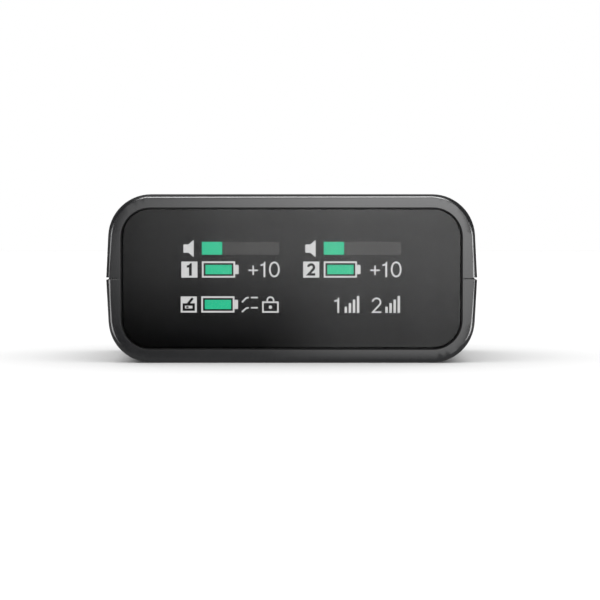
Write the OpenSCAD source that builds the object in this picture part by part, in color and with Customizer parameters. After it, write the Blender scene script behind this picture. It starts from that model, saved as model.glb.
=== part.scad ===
// Two-channel wireless receiver unit: a pocket-sized case of two half shells with a
// touch display let into its front face. Millimetres. X is the width, Y runs from the
// display at the front to the rear face, Z is up. The origin is the middle of the
// footprint, on the face that the unit stands on.

/* [Case] */
// Width across the parting line
body_w = 44; // [44:0.5:54]
// Depth from the display face to the rear face
body_d = 28; // [28:0.5:36]
// Height
body_h = 20; // [20:0.5:26]
// Radius of the four corners seen from the front
corner_r = 5.1; // [4.6:0.1:6.2]
// Lean of the flanks away from the parting line, in degrees
flank_draft = 2.9; // [1:0.1:4]
// Thickness of the shell walls
wall = 1.3; // [1.1:0.05:1.6]
// Radius of the edge round the front face
front_fillet = 0.5; // [0.3:0.05:0.7]
// Radius of the edge round the rear face
rear_fillet = 1.2; // [0.6:0.1:1.3]
// Height of the reveal groove between the two shells
seam_gap = 0.28; // [0.2:0.02:0.4]
// Depth of the reveal groove in the flanks
seam_depth = 0.35; // [0.2:0.05:0.5]
// Depth of the reveal groove across the front bezel
bezel_seam_depth = 0.15; // [0.1:0.05:0.3]

/* [Display] */
// Bezel width at the flanks
bezel_side = 1.73; // [1.5:0.01:2]
// Bezel width at the top and the bottom
bezel_top = 1.56; // [1.4:0.01:2]
// Gap round the cover glass
glass_gap = 0.15; // [0.08:0.01:0.2]
// Depth of the glass face behind the bezel face
glass_recess = 0.08; // [0:0.02:0.2]
// Thickness of the cover glass
glass_t = 0.8; // [0.6:0.05:1]
// Width of the ledge that carries the glass
ledge_w = 1.2; // [0.8:0.1:1.5]
// Thickness of that ledge
ledge_t = 1; // [0.8:0.1:1.3]
// Width of the display module
panel_w = 33.3; // [27:0.1:34]
// Height of the display module
panel_h = 13.7; // [11:0.1:14]
// Thickness of the display module
panel_t = 1.1; // [0.9:0.1:1.4]
// How far the module sits to the right of the middle
panel_shift = 1; // [0:0.1:1.4]

/* [Sockets and button] */
// Radius of a 3.5 mm jack's bore
jack_bore_r = 1.8; // [1.76:0.01:2.1]
// Length of a jack's bore, from its collar to its blind end
jack_bore_l = 13.5; // [11.5:0.1:14.5]
// Depth of a jack's body along the case
jack_body_w = 6; // [5.6:0.1:6.4]
// Height of a jack's body
jack_body_h = 5; // [4.8:0.1:6]
// Middle of each jack along the case
jack_y = [-3.2, 5.2];
// Width of the USB-C socket
usb_w = 8.94; // [8.9:0.01:9.1]
// Height of the USB-C socket
usb_h = 3.26; // [3.2:0.01:3.4]
// Middle of the USB-C socket along the case
usb_y = 4.4; // [4:0.1:4.5]
// Length of the power button
button_l = 5.2; // [4.2:0.1:5.4]
// Height of the power button
button_h = 2; // [1.6:0.1:2.4]
// Travel of the power button
button_travel = 0.4; // [0.2:0.05:0.5]
// Middle of the power button along the case
button_y = -4.9; // [-5:0.1:-4.6]

/* [Inside] */
// Thickness of the main board
board_t = 0.8; // [0.6:0.1:1.2]
// Width of the battery
battery_w = 25; // [20:0.5:25.5]
// Length of the battery
battery_l = 21; // [17:0.5:21]
// Thickness of the battery
battery_t = 4.6; // [3.5:0.1:5.6]
// Radius of the case screws' threads
screw_r = 0.7; // [0.55:0.05:0.85]

/* [Accessory slot] */
// Width of the slot's mouth
slot_mouth = 10; // [8:0.1:11]
// Width of the slot behind its lips
slot_inner = 12.6; // [11.5:0.1:15.5]
// Height of the space behind the lips
slot_space = 1; // [0.8:0.05:1.4]
// Length of the slot from the rear face
slot_l = 20; // [16.5:0.5:20.5]

/* [Hidden] */

corner_steps = 14; // flats in a corner of the case
edge_steps = 4;    // flats in an edge round
fit = 0.1;         // clearance of what is pushed in
loose = 0.15;      // clearance of what drops or slides in
skin = 0.2;        // how far a boss or rib runs into its wall

// the case
front_y = -body_d / 2;
rear_y = body_d / 2;
mid_z = body_h / 2;
corner_z = body_h - corner_r;
corner_x = body_w / 2 - (mid_z - corner_r) * tan(flank_draft) - corner_r / cos(flank_draft);
inner_x = body_w / 2 - wall / cos(flank_draft);
inner_rear = rear_y - wall;
ceiling_z = body_h - wall;
lip_t = 0.55;
lip_h = 0.8;
lip_inset = wall - lip_t;

// the display's stack, from the front to the back
opening_w = body_w - 2 * bezel_side;
opening_h = body_h - 2 * bezel_top;
opening_r = corner_r - bezel_top;
window_w = opening_w - 2 * ledge_w;
window_h = opening_h - 2 * ledge_w;
window_r = min(opening_r - ledge_w, 2.34); // leaves room for the module's square corners
gasket_t = 0.1;
glass_y = front_y + glass_recess;
panel_y = glass_y + glass_t;
ledge_y = panel_y + gasket_t;
cavity_y = ledge_y + ledge_t;
foam_y = max(panel_y + panel_t, cavity_y);
foam_t = 0.4;
bracket_y = foam_y + foam_t;
bracket_t = 0.8;
bracket_back = bracket_y + bracket_t;
bracket_inset = 0.3;
rib_t = 0.6;
rib_x = [-10, 10];
driver_strip = 2.9;
ribbon_w = 5;
ribbon_t = 0.12;
ribbon_x = 9;
ribbon_bend = 0.4;
ribbon_tail = 1.2;

// the main board, under the level of the sockets' middle
board_top = mid_z - usb_h / 2;
ribbon_z = board_top + 0.35;
socket_y = bracket_back + 0.9;
socket_l = 1.6;
socket_h = 0.9;
socket_grip = 0.9;
board_z = board_top - board_t;
board_front = bracket_back + 0.35;
board_rear = inner_rear - 0.3;
board_half = inner_x - 0.55;

// the case screws, in bosses at the four corners
boss_r = screw_r + 1;
boss_x = battery_w / 2 + 0.4 + boss_r;
boss_y = [bracket_back + 0.2 + boss_r, inner_rear - 0.1 - boss_r];
head_r = screw_r + 0.55;
head_h = 0.9;
head_sink = 0.4;
insert_l = 3.5;
insert_wall = 0.45;
insert_z = board_top + 0.15;

// the accessory slot, open at the rear of the bottom face
slot_recess = 0.15;
slot_lip = 0.7;
slot_side = 0.7;
slot_web = 0.55;
slot_w = slot_inner + 2 * slot_side;
slot_depth = slot_recess + slot_lip + slot_space + slot_web;
slot_case = 1;
slot_roof = slot_depth + slot_case;
slot_front = rear_y - slot_l;
collar_r = 1.1;
collar_top = slot_roof - 0.2;
rail_screw_r = 0.5;
rail_screw_x = slot_mouth * 0.42;
rail_screw_y = [slot_front + 10.5, rear_y - 4];
block_y = [slot_front + 1.4, slot_front + 5.4];
block_half = 5;
block_flange = 0.6;
pad_count = 6;
pad_pitch = 1.6;
pad_t = 0.1;
pad_z = slot_depth - slot_web;
block_top = slot_roof + 0.8;
pin_r = 0.25;
pin_barrel_r = 0.45;

// the button on the right flank, in its scoop, and the switch behind it
button_out = body_w / 2 - 0.5;
scoop_x = button_out - 0.4;
scoop_floor = 0.5;
scoop_rim = 1.3;
pad_x = scoop_x - wall;
pad_half_y = button_l / 2 + 1.6;
pad_half_z = button_h / 2 + 2;
flange_t = 0.5;
flange_rim = 0.5;
flange_x = pad_x - 0.05;
flange_back = flange_x - flange_t;
plunger_r = 0.65;
plunger_in = 0.8;
switch_x = flange_back - button_travel - 0.9;
switch_l = 2.8;
switch_w = 3.8;
notch_x = flange_back - button_travel - 0.25;

// the jacks on the left flank and the USB-C socket on the right one
collar_wall = 0.7;
face_gap = 0.07;
blind_wall = 0.6;
collar_x = 0.5 - body_w / 2;
jack_x = jack_body_h / 2 * tan(flank_draft) + face_gap - inner_x;
jack_end = collar_x + jack_bore_l + blind_wall;
usb_mouth = body_w / 2 - 0.8;
usb_l = 7.3;
usb_back = usb_mouth - usb_l;
usb_skin = 0.3;
usb_base = 2;
tongue_w = 6.69;
tongue_t = 0.7;
tongue_l = 4.45;
contact_count = 12;
contact_pitch = 0.5;
contact_t = 0.05;
tab_x = [3, 9];
tab_w = 1;
tab_l = 0.6;
tab_t = 0.15;

// the battery under the ceiling, and its lead
battery_foam_t = 0.3;
battery_top = ceiling_z - battery_foam_t;
battery_z = battery_top - battery_t;
battery_rear = inner_rear - 1.6;
battery_front = battery_rear - battery_l;
header_x = [-11.4, -7.8];
header_l = 1.8;
header_top = board_top + 1.5;
plug_y = battery_rear - 0.3;
plug_l = 1.1;
lead_r = 0.33;
lead_x = [-10.3, -8.9];

// What stands on the board: [x, y, width, depth, height] of each piece.
cans = [[-5.9, -7.5, 7.3, 8, 1.7], [-5.9, 1.8, 7.3, 7.4, 1.7]];
chips = [
  [-4.6, -6, 4.6, 4.6, 0.9], [-4.4, 3.4, 4, 4, 0.9], [4.4, -6.4, 6, 6, 1],
  [5.2, 2.4, 4, 5, 0.8], [-12.2, -9.4, 3, 2.2, 0.9], [11.4, -3.4, 2, 2.6, 0.8]];
can_t = 0.2;
crystal_at = [3.4, 8.2];
antenna_x = [-5.5, 4.5];
antenna_t = 0.2;
antenna_l = 6;
antenna_h = 4;
antenna_bar = 0.8;

// ---- outlines, extrusions and lofts ------------------------------------------------

function arc(cx, cz, r, a0, a1, n) =
  [for (k = [0:n]) let (a = a0 + (a1 - a0) * k / n) [cx + r * cos(a), cz + r * sin(a)]];

// Rectangle w by h about the middle, with corners of radius r.
function rounded(w, h, r, n = 8) = concat(
  arc(w / 2 - r, h / 2 - r, r, 0, 90, n),
  arc(r - w / 2, h / 2 - r, r, 90, 180, n),
  arc(r - w / 2, r - h / 2, r, 180, 270, n),
  arc(w / 2 - r, r - h / 2, r, 270, 360, n));

// Slot shape w by h with round ends.
function pill(w, h) = rounded(w, h, h * 0.499);

// The upper half of the case's outline from the front, drawn in by i: flanks that lean
// in from the parting line, and two round corners.
function upper_outline(i) = concat(
  [[body_w / 2 - i / cos(flank_draft), mid_z]],
  arc(corner_x, corner_z, corner_r - i, flank_draft, 90, corner_steps),
  arc(-corner_x, corner_z, corner_r - i, 90, 180 - flank_draft, corner_steps),
  [[i / cos(flank_draft) - body_w / 2, mid_z]]);

function lower_outline(i) = [for (p = upper_outline(i)) [-p[0], 2 * mid_z - p[1]]];

function outline(i) = concat(upper_outline(i), [for (p = lower_outline(i)) if (p[1] < mid_z) p]);

// Extrusion along Y of what is drawn in X and Z, and along X of what is drawn in Y and Z.
module along_y(y0, y1) {
  translate([0, y1, 0]) rotate([90, 0, 0]) linear_extrude(y1 - y0) children();
}

module along_x(x0, x1) {
  translate([x0, 0, 0]) rotate([90, 0, 90]) linear_extrude(x1 - x0) children();
}

module box(low, high) {
  translate(low) cube(high - low);
}

module rod_x(x0, x1, y, z, r) {
  translate([x0, y, z]) rotate([0, 90, 0]) cylinder(h = x1 - x0, r = r, $fn = 48);
}

module rod_z(z0, z1, x, y, r) {
  translate([x, y, z0]) cylinder(h = z1 - z0, r = r, $fn = 48);
}

// Solid through a list of rings with the same number of points each.
module loft(rings) {
  n = len(rings[0]);
  last = len(rings) - 1;
  points = [for (ring = rings) for (p = ring) p];
  sides = [for (i = [0:last - 1]) for (j = [0:n - 1])
    [i * n + j, i * n + (j + 1) % n, (i + 1) * n + (j + 1) % n, (i + 1) * n + j]];
  polyhedron(points, concat(
    [[for (j = [n - 1:-1:0]) j]],
    sides,
    [[for (j = [0:n - 1]) last * n + j]]));
}

// Rounded slot shape lofted along X; stations are [x, width, height] from the highest x down.
module pill_loft(stations) {
  loft([for (s = stations) [for (p = pill(s[1], s[2])) [s[0], p[0], p[1]]]]);
}

// Round wire through points that all lie at one x.
module wire(points, r, sides = 8) {
  n = len(points);
  function way(i) =
    let (d = points[min(i + 1, n - 1)] - points[max(i - 1, 0)]) d / norm(d);
  loft([for (i = [0:n - 1]) let (w = way(i)) [for (k = [0:sides - 1])
    let (a = 360 * k / sides) points[i] + r * [cos(a), -w[2] * sin(a), w[1] * sin(a)]]]);
}

module each_boss() {
  for (x = [-boss_x, boss_x], y = boss_y) translate([x, y, 0]) children();
}

module each_rail_screw() {
  for (x = [-rail_screw_x, rail_screw_x], y = rail_screw_y) translate([x, y, 0]) children();
}

// ---- the two shells ----------------------------------------------------------------

// Solid block of one half of the case, with its front and rear edges rounded.
module case_half(upper) {
  front = [for (k = [0:edge_steps]) let (a = 90 * k / edge_steps)
    [front_y + front_fillet * (1 - cos(a)), front_fillet * (1 - sin(a))]];
  rear = [for (k = [edge_steps:-1:0]) let (a = 90 * k / edge_steps)
    [rear_y - rear_fillet * (1 - cos(a)), rear_fillet * (1 - sin(a))]];
  loft([for (s = concat(front, rear))
    [for (p = upper ? upper_outline(s[1]) : lower_outline(s[1])) [p[0], s[0], p[1]]]]);
}

// What is open in both shells: the cavity, the glass's seat and the window in its ledge.
module case_hollow() {
  along_y(cavity_y, inner_rear) polygon(outline(wall));
  translate([0, 0, mid_z]) {
    along_y(front_y - 1, ledge_y) polygon(rounded(opening_w, opening_h, opening_r));
    along_y(front_y, cavity_y + 1) polygon(rounded(window_w, window_h, window_r));
  }
}

// The reveal groove that runs round the case at the parting line.
module seam_groove() {
  low = mid_z - seam_gap / 2;
  high = mid_z + seam_gap / 2;
  flank = body_w / 2 - seam_depth;
  box([flank, front_y - 1, low], [body_w, rear_y + 1, high]);
  box([-body_w, front_y - 1, low], [-flank, rear_y + 1, high]);
  box([-body_w, rear_y - seam_depth, low], [body_w, rear_y + 1, high]);
  box([-body_w, front_y - 1, low], [body_w, front_y + bezel_seam_depth, high]);
}

// The locating lip in the thickness of the wall, or with a clearance, its rebate.
module lip(clear, z0, z1) {
  intersection() {
    difference() {
      along_y(cavity_y, rear_y - lip_inset + clear) polygon(outline(lip_inset - clear));
      along_y(cavity_y - 1, inner_rear) polygon(outline(wall));
    }
    box([-body_w, cavity_y + 1 - clear, z0], [body_w, rear_y, z1]);
  }
}

// The openings in the flanks: the jacks' collars, the USB-C socket, the button in its scoop.
module port_cuts() {
  for (y = jack_y) rod_x(-body_w, -inner_x + 0.5, y, mid_z, jack_bore_r + collar_wall + fit);
  translate([0, usb_y, mid_z]) along_x(inner_x - 0.5, body_w)
    polygon(pill(usb_w + 2 * loose, usb_h + 2 * loose));
  translate([0, button_y, mid_z]) {
    along_x(pad_x - 1, body_w) polygon(pill(button_l + 2 * loose, button_h + 2 * loose));
    pill_loft([
      [body_w / 2 + 0.2, button_l + 2 * scoop_rim + 0.3, button_h + 2 * scoop_rim + 0.3],
      [button_out, button_l + 2 * scoop_rim - 0.5, button_h + 2 * scoop_rim - 0.5],
      [scoop_x + 0.1, button_l + 2 * scoop_floor + 0.2, button_h + 2 * scoop_floor + 0.2],
      [scoop_x, button_l + 2 * scoop_floor, button_h + 2 * scoop_floor]]);
  }
}

// The thickening behind the scoop, between two heights.
module button_pad(z0, z1) {
  box([pad_x, button_y - pad_half_y, z0], [inner_x + skin, button_y + pad_half_y, z1]);
}

// Ribs that press on the back of the display bracket, between two heights.
module bracket_ribs(z0, z1) {
  for (x = rib_x) box([x - rib_t / 2, bracket_back, z0], [x + rib_t / 2, bracket_back + rib_t, z1]);
}

module top_shell() {
  color([0.16, 0.16, 0.17]) difference() {
    union() {
      difference() {
        case_half(true);
        case_hollow();
      }
      each_boss() rod_z(board_top, ceiling_z + skin, 0, 0, boss_r);
      button_pad(mid_z, mid_z + pad_half_z);
      bracket_ribs(body_h - bezel_top - 2, ceiling_z + skin);
    }
    seam_groove();
    port_cuts();
    lip(0.05, mid_z - 1, mid_z + lip_h + fit);
    each_boss() {
      rod_z(board_top - 1, insert_z + insert_l, 0, 0, screw_r + insert_wall);
      rod_z(insert_z, insert_z + insert_l + 2, 0, 0, screw_r + fit);
    }
  }
}

module bottom_shell() {
  color([0.15, 0.15, 0.16]) difference() {
    union() {
      difference() {
        case_half(false);
        case_hollow();
      }
      lip(0, mid_z - skin, mid_z + lip_h);
      each_boss() rod_z(wall - skin, board_z, 0, 0, boss_r);
      button_pad(mid_z - pad_half_z, mid_z);
      bracket_ribs(wall - skin, bezel_top + 2);
      box([-slot_w / 2 - slot_case, slot_front - slot_case, wall - skin],
        [slot_w / 2 + slot_case, inner_rear + skin, slot_roof]);
    }
    seam_groove();
    port_cuts();
    each_boss() {
      rod_z(-1, head_sink + head_h, 0, 0, head_r + fit);
      rod_z(-1, board_z + 1, 0, 0, screw_r + fit);
    }
    box([-slot_w / 2, slot_front, -1], [slot_w / 2, rear_y + 1, slot_depth]);
    box([-block_half - fit, block_y[0] - fit, 0], [block_half + fit, block_y[1] + fit, slot_roof + 1]);
    each_rail_screw() rod_z(0, slot_roof + 1, 0, 0, collar_r + fit);
  }
}

// ---- the display -------------------------------------------------------------------

module cover_glass() {
  color([0.1, 0.1, 0.11, 0.6]) translate([0, 0, mid_z]) along_y(glass_y, panel_y)
    polygon(rounded(opening_w - 2 * glass_gap, opening_h - 2 * glass_gap, opening_r - glass_gap));
}

module glass_gasket() {
  color([0.05, 0.05, 0.05]) translate([0, 0, mid_z]) along_y(panel_y, ledge_y) difference() {
    polygon(rounded(opening_w - 2 * loose, opening_h - 2 * loose, opening_r - loose));
    polygon(rounded(window_w + 2 * fit, window_h + 2 * fit, window_r + fit));
  }
}

// Two sheets of display glass; the front one stops short of the driver strip.
module display_module() {
  sheet = panel_t / 2;
  left = panel_shift - panel_w / 2;
  right = panel_shift + panel_w / 2;
  color([0.1, 0.1, 0.12]) {
    box([left, panel_y + sheet, mid_z - panel_h / 2], [right, panel_y + panel_t, mid_z + panel_h / 2]);
    box([left, panel_y, mid_z - panel_h / 2], [right - driver_strip, panel_y + sheet, mid_z + panel_h / 2]);
  }
}

module display_foam() {
  half = panel_h / 2 - 0.5;
  color([0.07, 0.07, 0.07]) difference() {
    box([panel_shift - panel_w / 2 + 0.5, foam_y, mid_z - half],
      [panel_shift + panel_w / 2 - 0.5, bracket_y, mid_z + half]);
    box([ribbon_x - ribbon_w / 2 - loose, foam_y - 1, ribbon_z - ribbon_bend - ribbon_tail - loose],
      [ribbon_x + ribbon_w / 2 + loose, bracket_y + 1, ribbon_z + ribbon_t + loose]);
  }
}

// Plate behind the display, with a rim that stands on the ledge.
module display_bracket() {
  w = opening_w - 2 * bracket_inset;
  h = opening_h - 2 * bracket_inset;
  r = opening_r - bracket_inset;
  rim = ledge_w - bracket_inset;
  color([0.62, 0.63, 0.64]) difference() {
    translate([0, 0, mid_z]) {
      along_y(bracket_y, bracket_back) polygon(rounded(w, h, r));
      along_y(cavity_y, bracket_y + 0.1) difference() {
        polygon(rounded(w, h, r));
        polygon(rounded(w - 2 * rim, h - 2 * rim, r - rim));
      }
    }
    box([ribbon_x - ribbon_w / 2 - loose, bracket_y - 1, ribbon_z - ribbon_bend - loose],
      [ribbon_x + ribbon_w / 2 + loose, bracket_back + 1, ribbon_z + ribbon_t + loose]);
  }
}

// Flat ribbon: up the back of the module, round a bend and straight into its socket.
module display_ribbon() {
  back = panel_y + panel_t;
  bend_y = back + ribbon_t + ribbon_bend;
  bend_z = ribbon_z - ribbon_bend;
  foot = bend_z - ribbon_tail;
  tip = socket_y + socket_grip;
  color([0.75, 0.45, 0.12]) along_x(ribbon_x - ribbon_w / 2, ribbon_x + ribbon_w / 2) polygon(concat(
    [[back, foot], [back + ribbon_t, foot]],
    arc(bend_y, bend_z, ribbon_bend, 180, 90, 6),
    [[tip, ribbon_z], [tip, ribbon_z + ribbon_t]],
    arc(bend_y, bend_z, ribbon_bend + ribbon_t, 90, 180, 6)));
}

module ribbon_socket() {
  half = ribbon_w / 2 + 0.5;
  color([0.85, 0.83, 0.78]) difference() {
    box([ribbon_x - half, socket_y, board_top], [ribbon_x + half, socket_y + socket_l, board_top + socket_h]);
    box([ribbon_x - ribbon_w / 2 - 0.1, socket_y - 1, ribbon_z - 0.05],
      [ribbon_x + ribbon_w / 2 + 0.1, socket_y + socket_grip + 0.1, ribbon_z + ribbon_t + 0.05]);
  }
}

// ---- the main board and what is soldered to it -------------------------------------

module mainboard() {
  jack_half = jack_body_w / 2 + loose;
  color([0.05, 0.25, 0.15]) difference() {
    box([-board_half, board_front, board_z], [board_half, board_rear, board_top]);
    for (y = jack_y) box([-body_w, y - jack_half, 0], [jack_end + loose, y + jack_half, body_h]);
    box([notch_x, button_y - pad_half_y - loose, 0], [body_w, button_y + pad_half_y + loose, body_h]);
    each_boss() rod_z(0, body_h, 0, 0, screw_r + loose);
  }
}

module board_chips() {
  color([0.08, 0.08, 0.09]) for (c = chips)
    box([c[0], c[1], board_top], [c[0] + c[2], c[1] + c[3], board_top + c[4]]);
}

// Two folded cans, open underneath, each over the chips of one radio.
module shield_cans() {
  color([0.75, 0.75, 0.73]) for (c = cans) difference() {
    box([c[0], c[1], board_top], [c[0] + c[2], c[1] + c[3], board_top + c[4]]);
    box([c[0] + can_t, c[1] + can_t, board_top - 1],
      [c[0] + c[2] - can_t, c[1] + c[3] - can_t, board_top + c[4] - can_t]);
  }
}

// Metal can of the radio's clock.
module crystal() {
  color([0.8, 0.78, 0.7]) translate([crystal_at[0], crystal_at[1], board_top]) {
    linear_extrude(0.3) polygon(rounded(3.2, 2.5, 0.3));
    linear_extrude(0.7) polygon(rounded(2.8, 2.1, 0.4));
  }
}

// Two antennas of stamped sheet: a bar on a feed leg and a ground leg.
module antennas() {
  foot = board_top;
  top = foot + antenna_h;
  color([0.82, 0.66, 0.3]) for (x = antenna_x)
    along_y(board_rear - 0.8 - antenna_t, board_rear - 0.8) polygon([
      [x, foot], [x + antenna_bar, foot], [x + antenna_bar, top - antenna_bar],
      [x + 2 * antenna_bar, top - antenna_bar], [x + 2 * antenna_bar, foot],
      [x + 3 * antenna_bar, foot], [x + 3 * antenna_bar, top - antenna_bar],
      [x + antenna_l, top - antenna_bar], [x + antenna_l, top], [x, top]]);
}

// ---- the sockets -------------------------------------------------------------------

// Jack body, sunk through the board, with its blind bore.
module jack(y) {
  half = jack_body_w / 2;
  color([0.1, 0.1, 0.11]) difference() {
    box([jack_x, y - half, mid_z - jack_body_h / 2], [jack_end, y + half, mid_z + jack_body_h / 2]);
    rod_x(jack_x - 1, jack_end - blind_wall, y, mid_z, jack_bore_r);
  }
}

module line_out_jack() {
  jack(jack_y[0]);
}

module headphone_jack() {
  jack(jack_y[1]);
}

// Bright rings round the jacks' mouths, let into the flank.
module jack_collars() {
  color([0.6, 0.6, 0.62]) for (y = jack_y) difference() {
    rod_x(collar_x, jack_x, y, mid_z, jack_bore_r + collar_wall);
    rod_x(collar_x - 1, jack_x + 1, y, mid_z, jack_bore_r);
  }
}

// Solder tabs that hold the jacks to the board.
module jack_terminals() {
  half = jack_body_w / 2;
  color([0.8, 0.8, 0.78]) for (y = jack_y, x = tab_x, side = [-1, 1])
    box([jack_x + x, min(y + side * half, y + side * (half + tab_l)), board_top],
      [jack_x + x + tab_w, max(y + side * half, y + side * (half + tab_l)), board_top + tab_t]);
}

module usb_shell() {
  color([0.78, 0.78, 0.78]) translate([0, usb_y, mid_z]) difference() {
    along_x(usb_back, usb_mouth) polygon(pill(usb_w, usb_h));
    along_x(usb_back - 1, usb_mouth + 1) polygon(pill(usb_w - 2 * usb_skin, usb_h - 2 * usb_skin));
  }
}

module usb_tongue() {
  color([0.12, 0.12, 0.13]) translate([0, usb_y, mid_z]) {
    along_x(usb_back + 0.1, usb_back + usb_base)
      polygon(pill(usb_w - 2 * usb_skin - 0.04, usb_h - 2 * usb_skin - 0.04));
    along_x(usb_back + usb_base - skin, usb_back + usb_base + tongue_l)
      polygon(rounded(tongue_w, tongue_t, 0.2));
  }
}

// Two rows of plated strips, on the upper and the lower side of the tongue.
module usb_contacts() {
  x0 = usb_back + usb_base + 0.4;
  x1 = usb_back + usb_base + tongue_l - 0.6;
  color([0.85, 0.7, 0.35]) for (i = [0:contact_count - 1], side = [-1, 1]) {
    y = usb_y + (i - (contact_count - 1) / 2) * contact_pitch;
    z = mid_z + side * (tongue_t + contact_t) / 2;
    box([x0, y - 0.125, z - contact_t / 2], [x1, y + 0.125, z + contact_t / 2]);
  }
}

// ---- the power button --------------------------------------------------------------

// Cap with a broken edge, on a flange that keeps it behind the wall.
module power_button() {
  bevel = 0.2;
  color([0.2, 0.2, 0.21]) translate([0, button_y, mid_z]) {
    pill_loft([
      [button_out, button_l - 2 * bevel, button_h - 2 * bevel],
      [button_out - bevel / 3, button_l - bevel, button_h - bevel],
      [button_out - bevel, button_l, button_h],
      [flange_x - 0.1, button_l, button_h]]);
    along_x(flange_back, flange_x) polygon(pill(button_l + 2 * flange_rim, button_h + 2 * flange_rim));
  }
}

module switch_body() {
  color([0.12, 0.12, 0.13]) difference() {
    box([switch_x - switch_l, button_y - switch_w / 2, board_top],
      [switch_x, button_y + switch_w / 2, mid_z + usb_h / 2]);
    rod_x(switch_x - plunger_in - button_travel - 0.2, switch_x + 1, button_y, mid_z, plunger_r + fit);
  }
}

// The switch's plunger, which the button's flange stays in touch with.
module switch_plunger() {
  color([0.75, 0.73, 0.68]) rod_x(switch_x - plunger_in, flange_back, button_y, mid_z, plunger_r);
}

// ---- the battery -------------------------------------------------------------------

module battery() {
  color([0.7, 0.71, 0.73]) translate([0, (battery_front + battery_rear) / 2, battery_z])
    linear_extrude(battery_t) polygon(rounded(battery_w, battery_l, 1));
}

module battery_foam() {
  color([0.08, 0.08, 0.08]) box(
    [3 - battery_w / 2, battery_front + 2, battery_top],
    [battery_w / 2 - 3, battery_rear - 2, ceiling_z]);
}

module battery_header() {
  color([0.9, 0.88, 0.82]) box(
    [header_x[0], plug_y - header_l, board_top], [header_x[1], plug_y, header_top]);
}

module battery_plug() {
  color([0.93, 0.91, 0.86]) box([header_x[0] + 0.3, plug_y, board_top + 0.2],
    [header_x[1] - 0.3, plug_y + plug_l, header_top - 0.2]);
}

// Two insulated leads: out of the plug, up the rear wall and over to the battery's end.
module battery_leads() {
  y = plug_y + plug_l / 2;
  foot = header_top - 0.2;
  reach = battery_z + battery_t / 2;
  for (i = [0, 1]) color(i == 0 ? [0.7, 0.08, 0.06] : [0.06, 0.06, 0.06]) wire([
    [lead_x[i], y, foot], [lead_x[i], y, foot + 0.6], [lead_x[i], y + 0.1, foot + 1.6],
    [lead_x[i], y + 0.25, foot + 2.6], [lead_x[i], y + 0.3, reach - 1.3],
    [lead_x[i], y + 0.25, reach - 0.7], [lead_x[i], y + 0.1, reach - 0.2],
    [lead_x[i], battery_rear + 0.3, reach], [lead_x[i], battery_rear, reach]], lead_r);
}

// ---- the accessory slot ------------------------------------------------------------

// Steel channel with inturned lips, a window for the contacts and four tapped necks.
module accessory_rail() {
  out = slot_w / 2 - fit;
  low = slot_recess;
  low_in = slot_recess + slot_lip;
  top_in = slot_recess + slot_lip + slot_space;
  color([0.66, 0.67, 0.68]) difference() {
    union() {
      along_y(slot_front + fit, rear_y - 0.3) polygon([
        [-out, low], [-slot_mouth / 2, low], [-slot_mouth / 2, low_in], [-slot_inner / 2, low_in],
        [-slot_inner / 2, top_in], [slot_inner / 2, top_in], [slot_inner / 2, low_in],
        [slot_mouth / 2, low_in], [slot_mouth / 2, low], [out, low],
        [out, slot_depth], [-out, slot_depth]]);
      each_rail_screw() rod_z(slot_depth - skin, collar_top, 0, 0, collar_r);
    }
    box([-block_half - fit, block_y[0] - fit, top_in - 0.1], [block_half + fit, block_y[1] + fit, slot_roof]);
    each_rail_screw() rod_z(0, body_h, 0, 0, rail_screw_r + 0.05);
  }
}

module rail_screws() {
  color([0.55, 0.55, 0.56]) each_rail_screw() difference() {
    union() {
      rod_z(slot_roof, slot_roof + 0.6, 0, 0, collar_r + 0.5);
      rod_z(slot_depth - slot_web + 0.1, slot_roof + 0.1, 0, 0, rail_screw_r);
    }
    translate([0, 0, slot_roof + 0.25]) cylinder(h = 1, r = 0.5, $fn = 6);
  }
}

// Insulating block let through the slot's ceiling, held by a flange inside the case.
module contact_block() {
  color([0.1, 0.1, 0.11]) difference() {
    union() {
      box([-block_half, block_y[0], pad_z + pad_t], [block_half, block_y[1], slot_roof + 0.1]);
      box([-block_half - block_flange, block_y[0] - block_flange, slot_roof],
        [block_half + block_flange, block_y[1] + block_flange, block_top]);
    }
    each_pin() rod_z(block_top - 0.4, block_top + 1, 0, 0, pin_barrel_r + 0.05);
  }
}

module contact_pads() {
  half = pad_pitch * 0.35;
  color([0.85, 0.7, 0.35]) for (i = [0:pad_count - 1]) {
    x = (i - (pad_count - 1) / 2) * pad_pitch;
    box([x - half, block_y[0] + 0.6, pad_z], [x + half, block_y[1] - 0.6, pad_z + pad_t]);
  }
}

module each_pin() {
  for (i = [0:pad_count - 1])
    translate([(i - (pad_count - 1) / 2) * pad_pitch, (block_y[0] + block_y[1]) / 2, 0]) children();
}

// Sprung pins from the block up to the underside of the board.
module contact_pins() {
  color([0.85, 0.7, 0.35]) each_pin() {
    rod_z(block_top - 0.4, board_z - 1.2, 0, 0, pin_barrel_r);
    rod_z(board_z - 1.3, board_z, 0, 0, pin_r);
  }
}

// ---- the case's fasteners ----------------------------------------------------------

// Machine screws with a six-sided drive, from the underside up into the inserts.
module case_screws() {
  color([0.25, 0.25, 0.26]) each_boss() difference() {
    union() {
      rod_z(head_sink, head_sink + head_h, 0, 0, head_r);
      rod_z(head_sink + head_h - 0.1, insert_z + insert_l - 0.3, 0, 0, screw_r);
    }
    translate([0, 0, head_sink - 1]) cylinder(h = 1.5, r = head_r * 0.5, $fn = 6);
  }
}

// Brass inserts pressed into the upper bosses.
module threaded_inserts() {
  color([0.78, 0.6, 0.25]) each_boss() difference() {
    rod_z(insert_z, insert_z + insert_l, 0, 0, screw_r + insert_wall);
    rod_z(insert_z - 1, insert_z + insert_l + 1, 0, 0, screw_r + 0.05);
  }
}

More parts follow.
